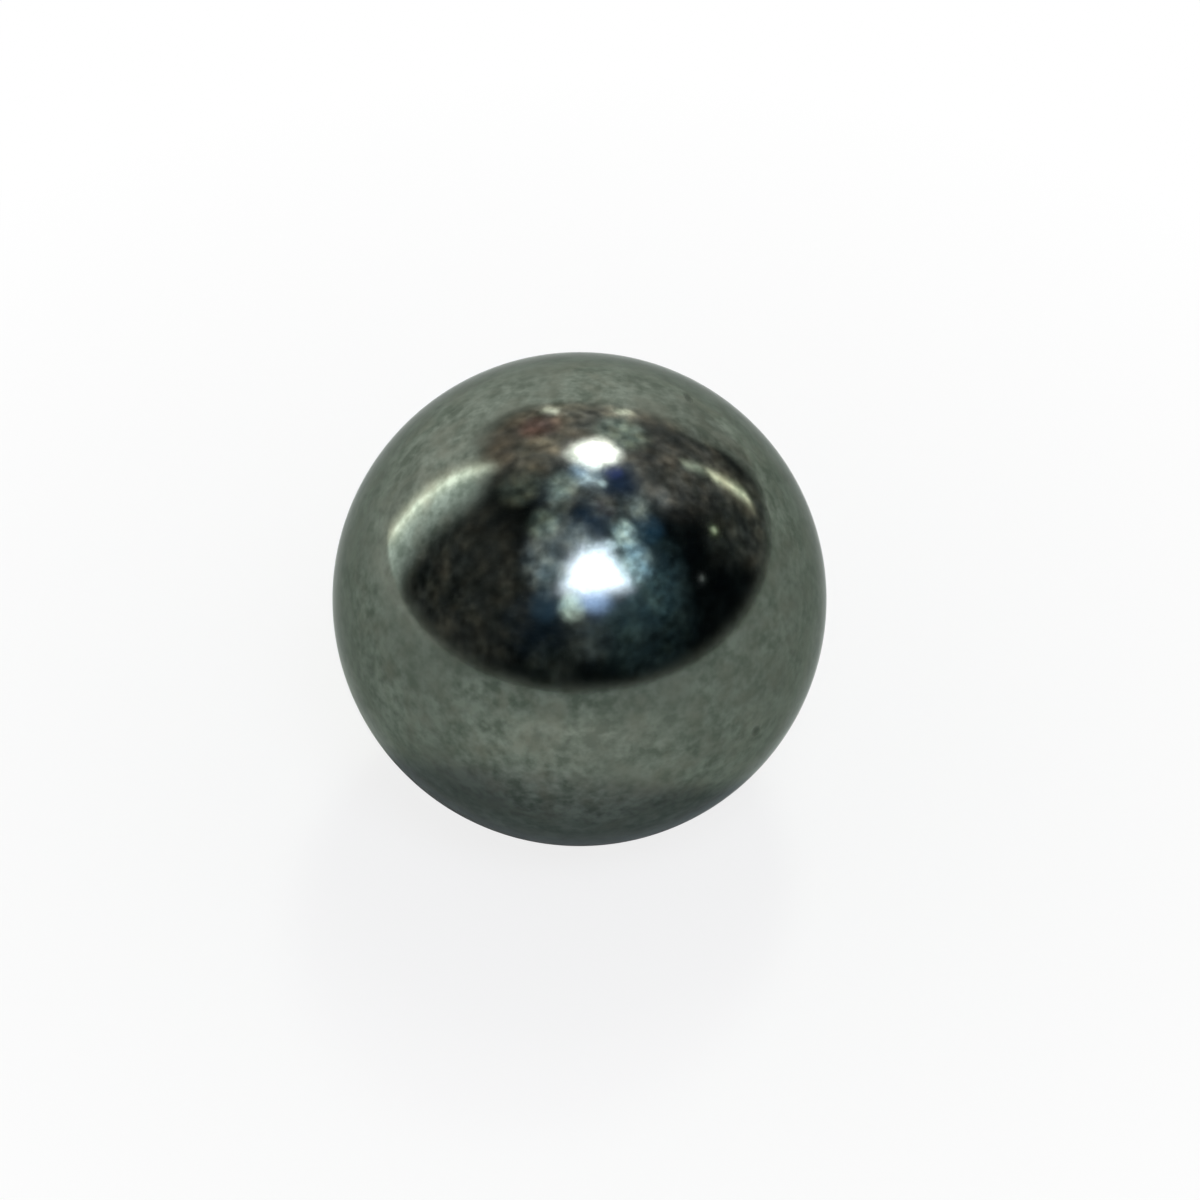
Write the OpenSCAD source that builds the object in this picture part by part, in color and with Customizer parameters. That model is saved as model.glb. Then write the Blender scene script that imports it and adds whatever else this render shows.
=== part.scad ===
// Polished steel ball: one solid sphere, ground and lapped all over.
// Millimetres, +Z up, origin at the centre of the ball.

/* [Ball] */
// Nominal diameter of the ball
ball_d = 10; // [1:0.5:100]

/* [Hidden] */
// Bare polished steel, a dark grey with a trace of green
steel_colour = [0.39, 0.42, 0.38];
// Sides of the preview mesh round the equator
$fn = 96;

// The whole ball: a true sphere with no flat, seam or bore
module ball() {
    color(steel_colour)
        sphere(d = ball_d);
}

ball();
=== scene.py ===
"""A polished steel ball on a pale floor, in a soft studio under a dark canopy."""

import math

import bmesh
import bpy
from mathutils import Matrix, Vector


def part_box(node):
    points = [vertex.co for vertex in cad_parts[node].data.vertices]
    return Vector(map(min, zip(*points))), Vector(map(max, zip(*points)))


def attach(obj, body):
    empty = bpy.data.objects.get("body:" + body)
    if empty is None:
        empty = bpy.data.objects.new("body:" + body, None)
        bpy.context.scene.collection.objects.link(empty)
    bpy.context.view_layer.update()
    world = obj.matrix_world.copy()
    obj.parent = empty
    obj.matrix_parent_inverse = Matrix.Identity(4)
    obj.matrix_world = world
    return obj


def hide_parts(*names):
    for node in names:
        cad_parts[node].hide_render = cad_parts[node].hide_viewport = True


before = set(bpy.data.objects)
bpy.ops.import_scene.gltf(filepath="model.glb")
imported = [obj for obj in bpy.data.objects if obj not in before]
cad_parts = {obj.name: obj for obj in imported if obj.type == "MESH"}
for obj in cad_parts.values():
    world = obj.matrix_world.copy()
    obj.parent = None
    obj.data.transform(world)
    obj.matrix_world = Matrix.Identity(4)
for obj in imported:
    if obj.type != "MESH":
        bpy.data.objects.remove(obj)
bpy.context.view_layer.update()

# Ball, sized from the frame, in metres
ball_low, ball_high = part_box("ball")
BALL_RADIUS = max(ball_high - ball_low) / 2
BALL_CUTS = 63

# Nicks in the polish: azimuth, elevation and slant in degrees, then length, width and depth in metres
NICKS = [
    (58, 59, 25, 0.46e-3, 0.22e-3, 0.003e-3),
    (135, -3, 70, 0.36e-3, 0.26e-3, 0.003e-3),
]
NICK_CUTS = 7

# Framing, in pixels of the photograph
PHOTO_SIDE = 1200
BALL_CENTRE_PX = (579.5, 599.1)
BALL_RADIUS_PX = 247.0

# Camera: elevation in degrees, distance in metres, sensor in millimetres
CAMERA_ELEVATION = 44
CAMERA_DISTANCE = 40 * BALL_RADIUS
SENSOR_MM = 36

# Bare polished steel, as linear colours
STEEL_DARK = (0.110, 0.134, 0.105, 1)
STEEL_LIGHT = (0.228, 0.264, 0.218, 1)
STEEL_WARM = (0.190, 0.196, 0.152, 1)
STEEL_DULL = (0.150, 0.170, 0.140, 1)
# Painted shade: the steel is darker inside the nicks, where their hollows are shaded
STEEL_NICK_SHADE = (0.095, 0.110, 0.088, 1)
STEEL_EDGE_TINT = (0.62, 0.65, 0.62, 1)

# Noises on the steel: cycles a radius and octaves of detail
GRAIN_NOISE = (27, 3)
CLOUD_NOISE = (11, 2)
WARM_NOISE = (9, 3)
SMEAR_NOISE = (2.2, 2)
ROUGH_NOISE = (4, 5)
BUMP_NOISE = (30, 3)

# What the noises do: the part of each that counts, and what it gives at both ends of that part
CLOUD_SHARE = 0.5
MOTTLE_RANGE = (0.38, 0.62)
WARM_RANGE = (0.45, 0.75)
WARM_SHARE = (0, 0.6)
SMEAR_RANGE = (0.4, 0.65)
SMEAR_SHARE = (0, 0.5)
ROUGH_RANGE = (0.3, 0.7)
ROUGHNESS = (0.08, 0.13)
NICK_ROUGHNESS = 0.3
BUMP_HEIGHT = 1e-4 * BALL_RADIUS

# Floor, in metres and as shares of white: where it is seen, and where the ball mirrors it, with a painted
# brighter side and a painted pool of light that only reflections show
FLOOR_REACH = 3.0
FLOOR_SIDES = 96
FLOOR_COLOUR = (0.665, 0.69, 0.615, 1)
FLOOR_LIFT = 0.82
FLOOR_FADE = (1.0 * BALL_RADIUS, 4.5 * BALL_RADIUS)
# Painted light on one side of the floor, seen only in reflections
FLOOR_LIFT_MIRRORED = 0.66
FLOOR_BRIGHT_SIDE = -30
FLOOR_FADE_MIRRORED = (2.0 * BALL_RADIUS, 12.0 * BALL_RADIUS)
# Painted pool of light on the floor before the ball, seen only in reflections
FLOOR_POOL = (0, -4.2 * BALL_RADIUS, -BALL_RADIUS)
FLOOR_POOL_REACH = 3.2 * BALL_RADIUS
FLOOR_POOL_LIFT = 0.82

# World, as shares of white: its fill, its horizon, and a backdrop that is brightest at one place
WHITE = (1, 1, 1, 1)
AMBIENT = 0.18
HORIZON_BRIGHTNESS = 0.94
HORIZON_HEIGHT = 0.4
BACKDROP = (-15, 15)
BACKDROP_REACH = (15, 65)
BACKDROP_EDGE = 0.47
MIRRORED_RAYS = ("Is Glossy Ray", "Is Transmission Ray")

# Lamps, seen from the ball: place as azimuth and elevation, outline in degrees right of and above it
LAMP_DISTANCE = 1.0
LAMP_CORE = 0.75
LAMP_EDGE = 1.60
LAMP_STEPS = 4
NEAR_LAMP = {
    "place": (166, 56),
    "outline": [
        (15, -4), (11, 3), (7, 8), (1, 11), (-5, 9), (-8, 4),
        (-11.5, -2), (-12.5, -7), (-8.5, -9.3), (2, -9), (11, -7),
    ],
    "colour": (0.97, 1.0, 1.38),
    "brightness": 8.0,
}
FAR_LAMP = {
    "place": (15, 63),
    "outline": [
        (-9.5, 2.5), (-7, -3), (-1, -7), (4, -5.5), (7, -3),
        (6.5, 2), (4, 4.5), (1, 8), (-3, 7), (-7, 5.5),
    ],
    "colour": (1.08, 1.0, 1.08),
    "brightness": 10.0,
}
KEY_LAMP = {
    "place": (12, 52),
    "outline": [(5, 0), (0, 5), (-5, 0), (0, -5)],
    "colour": (0.94, 1.0, 0.92),
    "brightness": 46.0,
}

# Glowing strips that light nothing, painted reflections of strip lamps: both ends as azimuth and
# elevation, half-widths there in degrees, colour, brightness
STRIP_DISTANCE = 1.3
STRIP_FADE = 0.22
LEFT_STRIP_ENDS = ((-69.2, -7.5), (-47, 52))
STRIPS = [
    ("left_strip", *LEFT_STRIP_ENDS, (9, 5), (1.04, 1.0, 0.92), 2.9),
    ("right_strip", (53.4, 31.5), (59.2, 7), (4.5, 4.5), (1.04, 1.0, 0.84), 3.7),
    ("right_dab", (50, 40), (53, 28.5), (4.5, 4.5), (0.95, 1.0, 0.90), 1.4),
    ("left_dash", (-13.8, 32.6), (-7.2, 38.4), (3.7, 3.7), (1.08, 0.98, 0.93), 3.3),
    ("right_dash", (12.8, 36.8), (18.6, 30.8), (3.7, 3.7), (1.06, 0.98, 0.90), 3.2),
]

# Painted light on the canopy beside the left strip, as angles from the strip and from a place
WASH_RISE = 4
WASH_FALL = (3, 25)
WASH_PLACE = (-66, 13.5)
WASH_REACH = (24, 39)
WASH_COLOUR = (1.5, 1.6, 1.64)

# Canopy: a dark dome seen only in reflections, painted with light and shade, in metres and degrees, with
# rows that crowd towards its rim
CANOPY_RADIUS = 1.4
CANOPY_COLUMNS = 180
CANOPY_ROWS = 33
CANOPY_ROW_CROWDING = 1.5
CANOPY_TOP = 89.5
RIM_DEPTH = 7
# Painted glow along the canopy's hem, seen only in reflections
RIM_GLOW = (0.29, 0.30, 0.29)

# Lower rim of the canopy: azimuth from +Y towards +X, elevation, and depth of its soft hem, in degrees
CANOPY_RIM = [
    (-180, 0, 0.5), (-67, 0, 0.5), (-64, 6, 0.5), (-60, 22, 0.5), (-53, 37, 0.5), (-48, 39, 3),
    (-44, 36.5, 7), (-38, 33, 8), (-30, 30.5, 8), (-20, 29.5, 5), (-12, 31, 3), (0, 32.5, 2),
    (10, 31.5, 2), (20, 29, 4), (29, 26, 7), (34, 24, 10), (38, 22, 12), (40, 17.5, 13),
    (42, 11.5, 11), (44, 6.5, 8), (47, 2, 4), (50, 0, 0.5), (180, 0, 0.5),
]

# Painted unevenness of the canopy's light: noise scale and detail, the part that counts, and the light
# kept at its ends
CANOPY_DARK = (0.006, 0.009, 0.012)
CLOTH_NOISE = (8, 4)
CLOTH_RANGE = (0.3, 0.7)
CLOTH_KEPT = (0.3, 1.7)
WEAVE_NOISE = (17, 3)
WEAVE_RANGE = (0.35, 0.65)
WEAVE_KEPT = (0.4, 1.6)
HUE_NOISE = (8, 2)
HUE_RANGE = (0.35, 0.65)
CANOPY_COOL = (0.89, 1.0, 1.12, 1)
CANOPY_WARM = (1.09, 1.0, 0.91, 1)

# Soft fields of painted light on the canopy: azimuth, elevation, inner and outer angle, colour
CANOPY_FIELDS = [
    ("near halo", 138, 54, 0, 12.5, (1.4, 1.85, 2.45)),
    ("near glow", 142, 48, 0, 30, (0.09, 0.16, 0.22)),
    ("near dusk", 146, 28, 0, 32, (0.04, 0.065, 0.08)),
    ("near shoulder", 122, 66.5, 0, 7, (1.2, 1.5, 1.8)),
    ("near toe", -175.5, 40, 0, 7.5, (1.5, 1.8, 2.0)),
    ("near skirt", 175, 26, 0, 13, (0.12, 0.135, 0.155)),
    ("left haze", -166, 62, 0, 23, (0.58, 0.64, 0.78)),
    ("left wisp", -122, 71.5, 0, 9, (0.36, 0.42, 0.38)),
    ("left shelf", -64, 63, 0, 12, (0.22, 0.24, 0.22)),
    ("overhead haze", 60, 80, 0, 32, (0.24, 0.26, 0.31)),
    ("overhead streak", -38, 79, 0, 8, (0.95, 1.03, 1.03)),
    ("overhead column", -75, 81, 0, 7, (0.45, 0.50, 0.52)),
    ("far halo", 13, 74, 0, 9, (1.6, 2.0, 2.9)),
    ("right wisp", 90, 64, 0, 7, (0.36, 0.41, 0.48)),
    ("right tuft", 75, 55, 0, 7, (0.44, 0.40, 0.44)),
    ("far haze", 40, 44, 10, 36, (0.28, 0.245, 0.25)),
    ("far veil", 21, 47.5, 0, 12, (0.46, 0.56, 0.52)),
    ("top haze", 4, 33, 6, 24, (0.32, 0.29, 0.29)),
    ("warm haze", -26, 50, 4, 26, (0.36, 0.29, 0.27)),
    ("warm shelf", -27, 57, 0, 12, (0.34, 0.30, 0.27)),
    ("red haze", -18, 44, 1, 9, (0.22, 0.02, 0.02)),
    ("left dusk", -112, 25, 15, 45, (0.085, 0.080, 0.078)),
    ("low haze", -168, 14, 0, 14, (0.06, 0.065, 0.065)),
    ("right dusk", 65, 10, 4, 24, (0.16, 0.15, 0.145)),
    ("right gloom", 84, 24, 0, 15, (0.05, 0.05, 0.05)),
]

# Clear painted lights and glints on the canopy, which its painted unevenness doesn't cloud, listed in the
# same way
CANOPY_SPARKS = [
    ("near sill", 173, 45, 0, 9, (0.95, 1.25, 2.3)),
    ("near ledge", 168, 43, 0, 8.5, (0.75, 1.0, 2.1)),
    ("near horn", 145, 65, 0, 3.6, (2.4, 2.7, 3.6)),
    ("near foot", -175, 43.5, 0, 5.4, (1.9, 2.2, 2.4)),
    ("near step", -160, 39.5, 0, 10, (0.06, 0.12, 0.22)),
    ("left patch", -157, 54, 0, 8, (0.16, 0.20, 0.26)),
    ("far navy", 46, 70, 0, 13, (0.02, 0.06, 0.18)),
    ("far violet", 39, 68.7, 0, 5, (0.05, 0.07, 0.45)),
    ("right navy", 105, 58.5, 0, 9, (0.02, 0.09, 0.21)),
    ("overhead navy", 150, 80, 0, 12, (0.02, 0.06, 0.15)),
    ("overhead brown", 97, 79, 0, 7, (0.12, 0.06, 0.03)),
    ("left navy", -156, 30, 0, 20, (0.01, 0.02, 0.04)),
    ("overhead star", 43.8, 76.7, 0.3, 2.2, (2.4, 2.8, 3.4)),
    ("green spark", 82.5, 30, 0.3, 1.4, (4.0, 4.5, 3.5)),
    ("white spark", 107, 27, 0.3, 1.4, (1.1, 1.1, 1.3)),
]

# Painted shade spots on the canopy: azimuth, elevation, inner and outer angle, share of the light taken
# away
CANOPY_SHADE_SPOTS = [
    ("far fold", 50, 70, 2, 11, 0.92),
    ("top fold", 178, 84, 2, 7, 0.8),
    ("near fold", 147, 76, 3, 7, 0.85),
    ("horn fold", 141.5, 61, 0.3, 3.6, 0.65),
]

# Sockets of the Mix node, which lists those of every data type one after another
MIX_SHARE = 0
MIX_VALUE_INPUTS = (2, 3)
MIX_VALUE_OUTPUT = 0
MIX_COLOUR_INPUTS = (6, 7)
MIX_COLOUR_OUTPUT = 2


def toward(azimuth, elevation):
    """The unit direction at an azimuth from +Y towards +X and an elevation, in degrees."""
    a = math.radians(azimuth)
    e = math.radians(elevation)
    return Vector((math.sin(a) * math.cos(e), math.cos(a) * math.cos(e), math.sin(e)))


def new_object(name, bm, material):
    """Turns a bmesh into a linked object with one material."""
    mesh = bpy.data.meshes.new(name)
    bm.to_mesh(mesh)
    bm.free()
    mesh.materials.append(material)
    made = bpy.data.objects.new(name, mesh)
    bpy.context.scene.collection.objects.link(made)
    return made


# Node helpers
def new_material(name):
    """An empty node material and its tree."""
    material = bpy.data.materials.new(name)
    material.use_nodes = True
    material.node_tree.nodes.clear()
    return material, material.node_tree


def add_node(tree, kind, settings=None, **values):
    """Adds a node, with its settings and the values of its named inputs."""
    made = tree.nodes.new(kind)
    for name, value in (settings or {}).items():
        setattr(made, name, value)
    for name, value in values.items():
        made.inputs[name.replace("_", " ")].default_value = value
    return made


def feed(tree, socket, value):
    """Links an output to a socket, or sets a plain value on it."""
    if isinstance(value, bpy.types.NodeSocket):
        tree.links.new(value, socket)
    else:
        socket.default_value = value


def object_place(tree):
    """The place on an object, in its own frame."""
    return add_node(tree, "ShaderNodeTexCoord").outputs["Object"]


def mesh_mark(tree, name):
    """A value that a mesh carries at its points."""
    return add_node(tree, "ShaderNodeAttribute", {"attribute_name": name}).outputs["Fac"]


def calculate(tree, operation, first, second):
    """A number worked out from two numbers."""
    made = add_node(tree, "ShaderNodeMath", {"operation": operation})
    feed(tree, made.inputs[0], first)
    feed(tree, made.inputs[1], second)
    return made.outputs["Value"]


def vector_outputs(tree, operation, *vectors):
    """The outputs of a calculation with one or two vectors."""
    made = add_node(tree, "ShaderNodeVectorMath", {"operation": operation})
    for socket, vector in zip(made.inputs, vectors):
        feed(tree, socket, vector)
    return made.outputs


def scaled(tree, vector, factor):
    """A vector times a number."""
    made = add_node(tree, "ShaderNodeVectorMath", {"operation": "SCALE"})
    feed(tree, made.inputs[0], vector)
    feed(tree, made.inputs["Scale"], factor)
    return made.outputs["Vector"]


def remap(tree, value, low, high, to_low, to_high):
    """Maps a range of a value to another range, clamped."""
    made = add_node(
        tree, "ShaderNodeMapRange", From_Min=low, From_Max=high, To_Min=to_low, To_Max=to_high
    )
    tree.links.new(value, made.inputs["Value"])
    return made.outputs["Result"]


def ease(tree, value, low, high):
    """A smooth rise from 0 at one value to 1 at another."""
    made = add_node(
        tree, "ShaderNodeMapRange", {"interpolation_type": "SMOOTHSTEP"}, From_Min=low, From_Max=high
    )
    tree.links.new(value, made.inputs["Value"])
    return made.outputs["Result"]


def noise(tree, place, scale, detail):
    """Noise over a unit sphere, with its scale in cycles a radius."""
    made = add_node(tree, "ShaderNodeTexNoise", Scale=scale, Detail=detail)
    tree.links.new(place, made.inputs["Vector"])
    return made.outputs["Fac"]


def mix_values(tree, share, first, second):
    """A number between two numbers."""
    made = add_node(tree, "ShaderNodeMix")
    feed(tree, made.inputs[MIX_SHARE], share)
    for socket, value in zip(MIX_VALUE_INPUTS, (first, second)):
        feed(tree, made.inputs[socket], value)
    return made.outputs[MIX_VALUE_OUTPUT]


def mix_colours(tree, share, first, second):
    """A colour between two colours."""
    made = add_node(tree, "ShaderNodeMix", {"data_type": "RGBA"})
    feed(tree, made.inputs[MIX_SHARE], share)
    for socket, colour in zip(MIX_COLOUR_INPUTS, (first, second)):
        feed(tree, made.inputs[socket], colour)
    return made.outputs[MIX_COLOUR_OUTPUT]


def mix_shaders(tree, share, first, second):
    """A shader between two shaders."""
    made = add_node(tree, "ShaderNodeMixShader")
    for socket, value in zip(made.inputs, (share, first, second)):
        tree.links.new(value, socket)
    return made.outputs["Shader"]


def light_path(tree, *names):
    """The largest of some Light Path outputs."""
    path = add_node(tree, "ShaderNodeLightPath")
    found = path.outputs[names[0]]
    for name in names[1:]:
        found = calculate(tree, "MAXIMUM", found, path.outputs[name])
    return found


def spot(tree, direction, place, inner, outer):
    """A soft round spot in the studio: 1 within the inner angle, 0 past the outer one."""
    near = vector_outputs(tree, "DOT_PRODUCT", direction, toward(*place))["Value"]
    return ease(tree, near, math.cos(math.radians(outer)), math.cos(math.radians(inner)))


def show(tree, shader, out_kind="ShaderNodeOutputMaterial"):
    """Ends a tree with its surface shader."""
    out = add_node(tree, out_kind)
    tree.links.new(shader, out.inputs["Surface"])


# Ball
def refine(bm, middle, reach):
    """Splits the faces near a direction into a finer grid."""
    edges = set()
    for face in bm.faces:
        if (face.calc_center_median().normalized() - middle).length < reach:
            edges.update(face.edges)
    bmesh.ops.subdivide_edges(bm, edges=list(edges), cuts=NICK_CUTS, use_grid_fill=True)


def press_nick(bm, layer, azimuth, elevation, slant, length, width, depth):
    """Presses a shallow long pit and marks how far inside its edge each point is."""
    middle = toward(azimuth, elevation)
    level = toward(azimuth + 90, 0)
    north = level.cross(middle)
    along = math.cos(math.radians(slant)) * level + math.sin(math.radians(slant)) * north
    beside = along.cross(middle)
    for vert in bm.verts:
        direction = vert.co.normalized()
        if direction.dot(middle) < 0:
            continue
        off_along = vert.co.dot(along) / (length / 2)
        off_beside = vert.co.dot(beside) / (width / 2)
        inside = 1 - off_along ** 2 - off_beside ** 2
        if inside > 0:
            vert[layer] = inside
            vert.co -= direction * depth * inside ** 2


def ball_mesh():
    """A sphere of even quads, a cube's grid spread by equal angles, with fine faces at the nicks."""
    bm = bmesh.new()
    bmesh.ops.create_cube(bm, size=2)
    bmesh.ops.subdivide_edges(bm, edges=bm.edges[:], cuts=BALL_CUTS, use_grid_fill=True)
    for vert in bm.verts:
        vert.co = Vector([math.tan(c * math.pi / 4) for c in vert.co]).normalized()
    for azimuth, elevation, _, length, *_ in NICKS:
        refine(bm, toward(azimuth, elevation), length / BALL_RADIUS)
    for vert in bm.verts:
        vert.co = BALL_RADIUS * vert.co.normalized()
    layer = bm.verts.layers.float.new("nick")
    for nick in NICKS:
        press_nick(bm, layer, *nick)
    for face in bm.faces:
        face.smooth = True
    return bm


def steel_colour(tree, unit, nick):
    """A fine mottle with warmer specks, dull handling smears, and painted shade that darkens the nicks.
    """
    grain = noise(tree, unit, *GRAIN_NOISE)
    cloud = noise(tree, unit, *CLOUD_NOISE)
    mottle = remap(tree, mix_values(tree, CLOUD_SHARE, grain, cloud), *MOTTLE_RANGE, 0, 1)
    warm = remap(tree, noise(tree, unit, *WARM_NOISE), *WARM_RANGE, *WARM_SHARE)
    smear = remap(tree, noise(tree, unit, *SMEAR_NOISE), *SMEAR_RANGE, *SMEAR_SHARE)
    colour = mix_colours(tree, mottle, STEEL_DARK, STEEL_LIGHT)
    colour = mix_colours(tree, warm, colour, STEEL_WARM)
    colour = mix_colours(tree, smear, colour, STEEL_DULL)
    # Painted shade, darker inside the nicks
    return mix_colours(tree, nick, colour, STEEL_NICK_SHADE)


def steel_roughness(tree, unit, nick):
    """An uneven polish, rough in the nicks."""
    polish = remap(tree, noise(tree, unit, *ROUGH_NOISE), *ROUGH_RANGE, *ROUGHNESS)
    return calculate(tree, "ADD", polish, calculate(tree, "MULTIPLY", nick, NICK_ROUGHNESS))


def steel_material():
    """Dark polished steel that has been handled."""
    material, tree = new_material("polished_steel")
    unit = scaled(tree, object_place(tree), 1 / BALL_RADIUS)
    nick = mesh_mark(tree, "nick")
    bump = add_node(tree, "ShaderNodeBump", Strength=1.0, Distance=BUMP_HEIGHT)
    tree.links.new(noise(tree, unit, *BUMP_NOISE), bump.inputs["Height"])

    shader = add_node(tree, "ShaderNodeBsdfPrincipled", Metallic=1.0, Specular_Tint=STEEL_EDGE_TINT)
    tree.links.new(steel_colour(tree, unit, nick), shader.inputs["Base Color"])
    tree.links.new(steel_roughness(tree, unit, nick), shader.inputs["Roughness"])
    tree.links.new(bump.outputs["Normal"], shader.inputs["Normal"])
    show(tree, shader.outputs["BSDF"])
    return material


def make_ball():
    """The ball's visible surface, in place of its CAD solid."""
    ball = new_object("ball_surface", ball_mesh(), steel_material())
    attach(ball, "root")
    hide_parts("ball")


# Floor and world
def floor_seen(tree, place):
    """How far the floor is lifted to white where it is seen: less near the ball, to keep its shadow."""
    away = vector_outputs(tree, "LENGTH", place)["Value"]
    lift = remap(tree, away, *FLOOR_FADE, FLOOR_LIFT, 1)
    return calculate(tree, "MULTIPLY", lift, light_path(tree, "Is Camera Ray"))


def floor_mirrored(tree, place):
    """How far it is lifted where it is mirrored: painted light on its brighter side, and a painted pool
    of light before the ball.
    """
    beyond = vector_outputs(tree, "DOT_PRODUCT", place, toward(FLOOR_BRIGHT_SIDE, 0))["Value"]
    bright = remap(tree, beyond, *FLOOR_FADE_MIRRORED, 0, FLOOR_LIFT_MIRRORED)
    # Painted pool of light, seen only in reflections
    away = vector_outputs(tree, "DISTANCE", place, FLOOR_POOL)["Value"]
    pool = remap(tree, away, 0, FLOOR_POOL_REACH, FLOOR_POOL_LIFT, 0)
    lift = calculate(tree, "ADD", bright, pool)
    return calculate(tree, "MULTIPLY", lift, light_path(tree, *MIRRORED_RAYS))


def floor_material():
    """Matt and pale, lifted towards white."""
    material, tree = new_material("floor")
    place = object_place(tree)
    lift = calculate(tree, "ADD", floor_seen(tree, place), floor_mirrored(tree, place))
    matt = add_node(tree, "ShaderNodeBsdfDiffuse", Color=FLOOR_COLOUR)
    white = add_node(tree, "ShaderNodeEmission", Color=WHITE, Strength=1.0)
    show(tree, mix_shaders(tree, lift, matt.outputs["BSDF"], white.outputs["Emission"]))
    return material


def make_floor():
    """A wide disc under the ball."""
    bm = bmesh.new()
    bmesh.ops.create_circle(bm, cap_ends=True, radius=FLOOR_REACH, segments=FLOOR_SIDES)
    bmesh.ops.translate(bm, verts=bm.verts, vec=(0, 0, -BALL_RADIUS))
    new_object("floor", bm, floor_material())


def make_world():
    """White where it is seen, greyer low down and to the sides where it is mirrored, else a soft fill."""
    world = bpy.data.worlds.new("studio")
    world.use_nodes = True
    tree = world.node_tree
    tree.nodes.clear()
    direction = add_node(tree, "ShaderNodeTexCoord").outputs["Generated"]
    parts = add_node(tree, "ShaderNodeSeparateXYZ")
    tree.links.new(direction, parts.inputs[0])
    horizon = remap(tree, parts.outputs["Z"], 0, HORIZON_HEIGHT, HORIZON_BRIGHTNESS, 1)
    backdrop = remap(tree, spot(tree, direction, BACKDROP, *BACKDROP_REACH), 0, 1, BACKDROP_EDGE, 1)
    mirrored = calculate(tree, "MULTIPLY", horizon, backdrop)
    level = mix_values(tree, light_path(tree, *MIRRORED_RAYS), AMBIENT, mirrored)
    level = mix_values(tree, light_path(tree, "Is Camera Ray"), level, 1)
    back = add_node(tree, "ShaderNodeBackground", Color=WHITE)
    tree.links.new(level, back.inputs["Strength"])
    show(tree, back.outputs["Background"], "ShaderNodeOutputWorld")
    bpy.context.scene.world = world


# Lamps and strips
def curve_point(a, b, c, d, t):
    """A point between b and c on a smooth curve through a, b, c and d."""
    slope = (c - a) * t
    bend = (2 * a - 5 * b + 4 * c - d) * t ** 2
    turn = (3 * b - a - 3 * c + d) * t ** 3
    return (2 * b + slope + bend + turn) / 2


def smooth_loop(points):
    """A closed smooth curve through a few points."""
    count = len(points)
    loop = []
    for i in range(count):
        corners = [Vector(points[(i + k) % count]) for k in (-1, 0, 1, 2)]
        for step in range(LAMP_STEPS):
            loop.append(curve_point(*corners, step / LAMP_STEPS))
    return loop


def fading_material(name, colour, brightness):
    """Light that fades softly, by the square of what the mesh marks."""
    material, tree = new_material(name)
    mark = mesh_mark(tree, "glow")
    faded = calculate(tree, "MULTIPLY", mark, mark)
    glow = add_node(tree, "ShaderNodeEmission", Color=(*colour, 1))
    tree.links.new(calculate(tree, "MULTIPLY", faded, brightness), glow.inputs["Strength"])
    clear = add_node(tree, "ShaderNodeBsdfTransparent")
    both = add_node(tree, "ShaderNodeAddShader")
    tree.links.new(glow.outputs["Emission"], both.inputs[0])
    tree.links.new(clear.outputs["BSDF"], both.inputs[1])
    show(tree, both.outputs["Shader"])
    return material


def never_reflected(thing):
    """Keeps a stage lamp out of sight and out of reflections, so that it only lights."""
    thing.visible_camera = False
    thing.visible_glossy = False
    thing.visible_transmission = False


def only_reflected(thing):
    """Shows a stage object in reflections alone, where it neither lights nor shades."""
    thing.visible_camera = False
    thing.visible_diffuse = False
    thing.visible_transmission = False
    thing.visible_volume_scatter = False
    thing.visible_shadow = False


def lamp_ring(bm, layer, place, outline, size, glow):
    """One ring of a lamp: its outline at some size, marked with how much it glows."""
    middle = toward(*place)
    right = middle.cross(Vector((0, 0, 1))).normalized()
    up = right.cross(middle)
    ring = []
    for point in smooth_loop(outline):
        across = math.tan(math.radians(point.x)) * right + math.tan(math.radians(point.y)) * up
        vert = bm.verts.new(LAMP_DISTANCE * (middle + size * across))
        vert[layer] = glow
        ring.append(vert)
    return ring


def make_lamp(name, place, outline, colour, brightness):
    """A flat soft lamp that faces the ball, fading at its edge."""
    bm = bmesh.new()
    layer = bm.verts.layers.float.new("glow")
    core = lamp_ring(bm, layer, place, outline, LAMP_CORE, 1)
    edge = lamp_ring(bm, layer, place, outline, LAMP_EDGE, 0)
    bm.faces.new(core)
    for i in range(len(core)):
        bm.faces.new((core[i - 1], core[i], edge[i], edge[i - 1]))
    lamp = new_object(name, bm, fading_material(name, colour, brightness))
    return lamp


def make_strip(name, start, end, half_widths, colour, brightness):
    """A flat glowing strip between two directions from the ball, fading at its edges and ends: a painted
    reflection of a strip lamp, which lights nothing.
    """
    first = STRIP_DISTANCE * toward(*start)
    along = STRIP_DISTANCE * toward(*end) - first
    across = along.cross(first).normalized() * STRIP_DISTANCE
    start_width, end_width = (math.tan(math.radians(angle)) for angle in half_widths)
    bm = bmesh.new()
    layer = bm.verts.layers.float.new("glow")
    grid = []
    for share, end_glow in ((0, 0), (STRIP_FADE, 1), (1 - STRIP_FADE, 1), (1, 0)):
        width = start_width + share * (end_width - start_width)
        row = []
        for side, side_glow in ((-1, 0), (0, 1), (1, 0)):
            vert = bm.verts.new(first + share * along + side * width * across)
            vert[layer] = end_glow * side_glow
            row.append(vert)
        grid.append(row)
    for lower, upper in zip(grid, grid[1:]):
        for i in range(len(lower) - 1):
            bm.faces.new((lower[i], lower[i + 1], upper[i + 1], upper[i]))
    strip = new_object(name, bm, fading_material(name, colour, brightness))
    only_reflected(strip)


# Canopy
def canopy_edge(azimuth):
    """The elevation of the rim and the depth of its hem at an azimuth, between the listed points."""
    for before, after in zip(CANOPY_RIM, CANOPY_RIM[1:]):
        if before[0] <= azimuth <= after[0]:
            share = (azimuth - before[0]) / (after[0] - before[0])
            return Vector(before[1:]).lerp(Vector(after[1:]), share)


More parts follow.
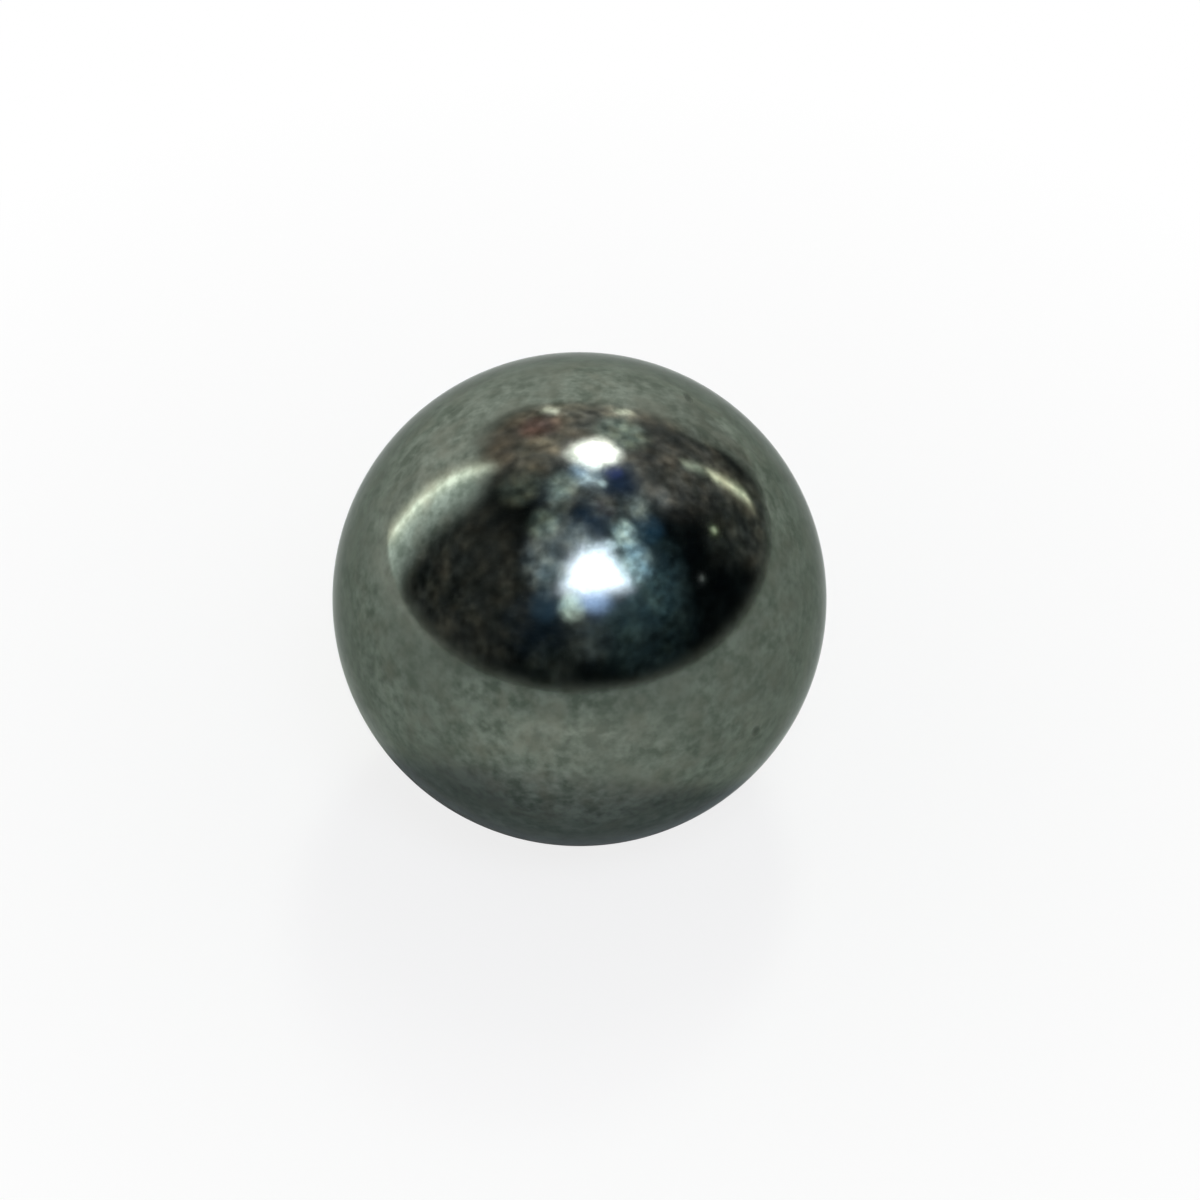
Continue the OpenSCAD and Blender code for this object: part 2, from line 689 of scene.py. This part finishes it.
def canopy_column(bm, rim, cover, azimuth):
    """A column of points from the hem up, marked with how near the rim and how dense they are."""
    low, hem = canopy_edge(azimuth)
    hem_vert = bm.verts.new(CANOPY_RADIUS * toward(azimuth, low - hem))
    hem_vert[rim] = 1
    column = [hem_vert]
    for j in range(CANOPY_ROWS):
        above = (CANOPY_TOP - low) * (j / (CANOPY_ROWS - 1)) ** CANOPY_ROW_CROWDING
        vert = bm.verts.new(CANOPY_RADIUS * toward(azimuth, low + above))
        vert[rim] = max(0, 1 - above / RIM_DEPTH) ** 2
        vert[cover] = 1
        column.append(vert)
    return column


def canopy_mesh():
    """A dome of columns, closed at its top."""
    bm = bmesh.new()
    rim = bm.verts.layers.float.new("rim")
    cover = bm.verts.layers.float.new("cover")
    azimuths = [-180 + 360 * i / CANOPY_COLUMNS for i in range(CANOPY_COLUMNS)]
    grid = [canopy_column(bm, rim, cover, azimuth) for azimuth in azimuths]
    for i, right in enumerate(grid):
        left = grid[i - 1]
        for j in range(CANOPY_ROWS):
            bm.faces.new((left[j], right[j], right[j + 1], left[j + 1]))
    bm.faces.new([column[CANOPY_ROWS] for column in grid])
    return bm


def add_light(tree, total, share, colour):
    """Adds a share of a colour to the light so far."""
    return vector_outputs(tree, "ADD", total, scaled(tree, colour, share))["Vector"]


def add_spots(tree, total, direction, spots):
    """Adds each listed spot of light."""
    for _, azimuth, elevation, inner, outer, colour in spots:
        share = spot(tree, direction, (azimuth, elevation), inner, outer)
        total = add_light(tree, total, share, colour)
    return total


def cloth_kept(tree, direction):
    """How much of the canopy's light is kept: painted unevenness and painted shade spots."""
    cloth = remap(tree, noise(tree, direction, *CLOTH_NOISE), *CLOTH_RANGE, *CLOTH_KEPT)
    weave = remap(tree, noise(tree, direction, *WEAVE_NOISE), *WEAVE_RANGE, *WEAVE_KEPT)
    kept = calculate(tree, "MULTIPLY", cloth, weave)
    for _, azimuth, elevation, inner, outer, share in CANOPY_SHADE_SPOTS:
        shade_spot = spot(tree, direction, (azimuth, elevation), inner, outer)
        kept = calculate(tree, "MULTIPLY", kept, remap(tree, shade_spot, 0, 1, 1, 1 - share))
    return kept


def cloth_tint(tree, direction):
    """A slow painted change between cooler and warmer light on the canopy."""
    hue = remap(tree, noise(tree, direction, *HUE_NOISE), *HUE_RANGE, 0, 1)
    return mix_colours(tree, hue, CANOPY_COOL, CANOPY_WARM)


def wash(tree, direction, start, end):
    """Painted light that falls away from a strip over the canopy, on its inner side."""
    side = toward(*end).cross(toward(*start)).normalized()
    beside = vector_outputs(tree, "DOT_PRODUCT", direction, side)["Value"]
    inner, outer = (math.sin(math.radians(angle)) for angle in WASH_FALL)
    rise = ease(tree, beside, -math.sin(math.radians(WASH_RISE)), 0)
    fall = remap(tree, ease(tree, beside, inner, outer), 0, 1, 1, 0)
    across = calculate(tree, "MULTIPLY", rise, fall)
    return calculate(tree, "MULTIPLY", across, spot(tree, direction, WASH_PLACE, *WASH_REACH))


def canopy_light(tree):
    """Painted fields of light on the dark canopy, clouded, then clear painted lights, painted light
    beside the left strip and a painted glow at the rim.
    """
    direction = vector_outputs(tree, "NORMALIZE", object_place(tree))["Vector"]
    total = add_spots(tree, CANOPY_DARK, direction, CANOPY_FIELDS)
    total = scaled(tree, total, cloth_kept(tree, direction))
    total = vector_outputs(tree, "MULTIPLY", total, cloth_tint(tree, direction))["Vector"]
    total = add_spots(tree, total, direction, CANOPY_SPARKS)
    total = add_light(tree, total, wash(tree, direction, *LEFT_STRIP_ENDS), WASH_COLOUR)
    return add_light(tree, total, mesh_mark(tree, "rim"), RIM_GLOW)


def canopy_material():
    """A dark dome with painted light and shade on it, thinning out at its hem."""
    material, tree = new_material("canopy")
    glow = add_node(tree, "ShaderNodeEmission", Strength=1.0)
    tree.links.new(canopy_light(tree), glow.inputs["Color"])
    clear = add_node(tree, "ShaderNodeBsdfTransparent")
    dense = ease(tree, mesh_mark(tree, "cover"), 0, 1)
    show(tree, mix_shaders(tree, dense, clear.outputs["BSDF"], glow.outputs["Emission"]))
    material.cycles.emission_sampling = "NONE"
    return material


def make_canopy():
    """The dark dome of painted light and shade that the ball mirrors."""
    canopy = new_object("canopy", canopy_mesh(), canopy_material())
    only_reflected(canopy)


def make_studio():
    """Everything round the ball, which isn't part of it."""
    make_floor()
    make_world()
    make_lamp("near_lamp", **NEAR_LAMP)
    make_lamp("far_lamp", **FAR_LAMP)
    never_reflected(make_lamp("key_lamp", **KEY_LAMP))
    for strip in STRIPS:
        make_strip(*strip)
    make_canopy()


# Camera
def make_camera():
    """A long lens that frames the ball as the photograph does, by aim alone."""
    back = toward(180, CAMERA_ELEVATION)
    right = Vector((1, 0, 0))
    up = back.cross(right)
    metres_per_px = BALL_RADIUS / BALL_RADIUS_PX
    aim = right * (PHOTO_SIDE / 2 - BALL_CENTRE_PX[0]) * metres_per_px
    aim = aim - up * (PHOTO_SIDE / 2 - BALL_CENTRE_PX[1]) * metres_per_px
    data = bpy.data.cameras.new("camera")
    data.sensor_width = SENSOR_MM
    data.lens = SENSOR_MM * CAMERA_DISTANCE / (PHOTO_SIDE * metres_per_px)
    data.clip_start = BALL_RADIUS
    camera = bpy.data.objects.new("camera", data)
    camera.location = aim + back * CAMERA_DISTANCE
    camera.rotation_mode = "QUATERNION"
    camera.rotation_quaternion = (-back).to_track_quat("-Z", "Y")
    bpy.context.scene.collection.objects.link(camera)
    bpy.context.scene.camera = camera


make_camera()
make_ball()
make_studio()
bpy.context.scene.view_settings.view_transform = "Standard"
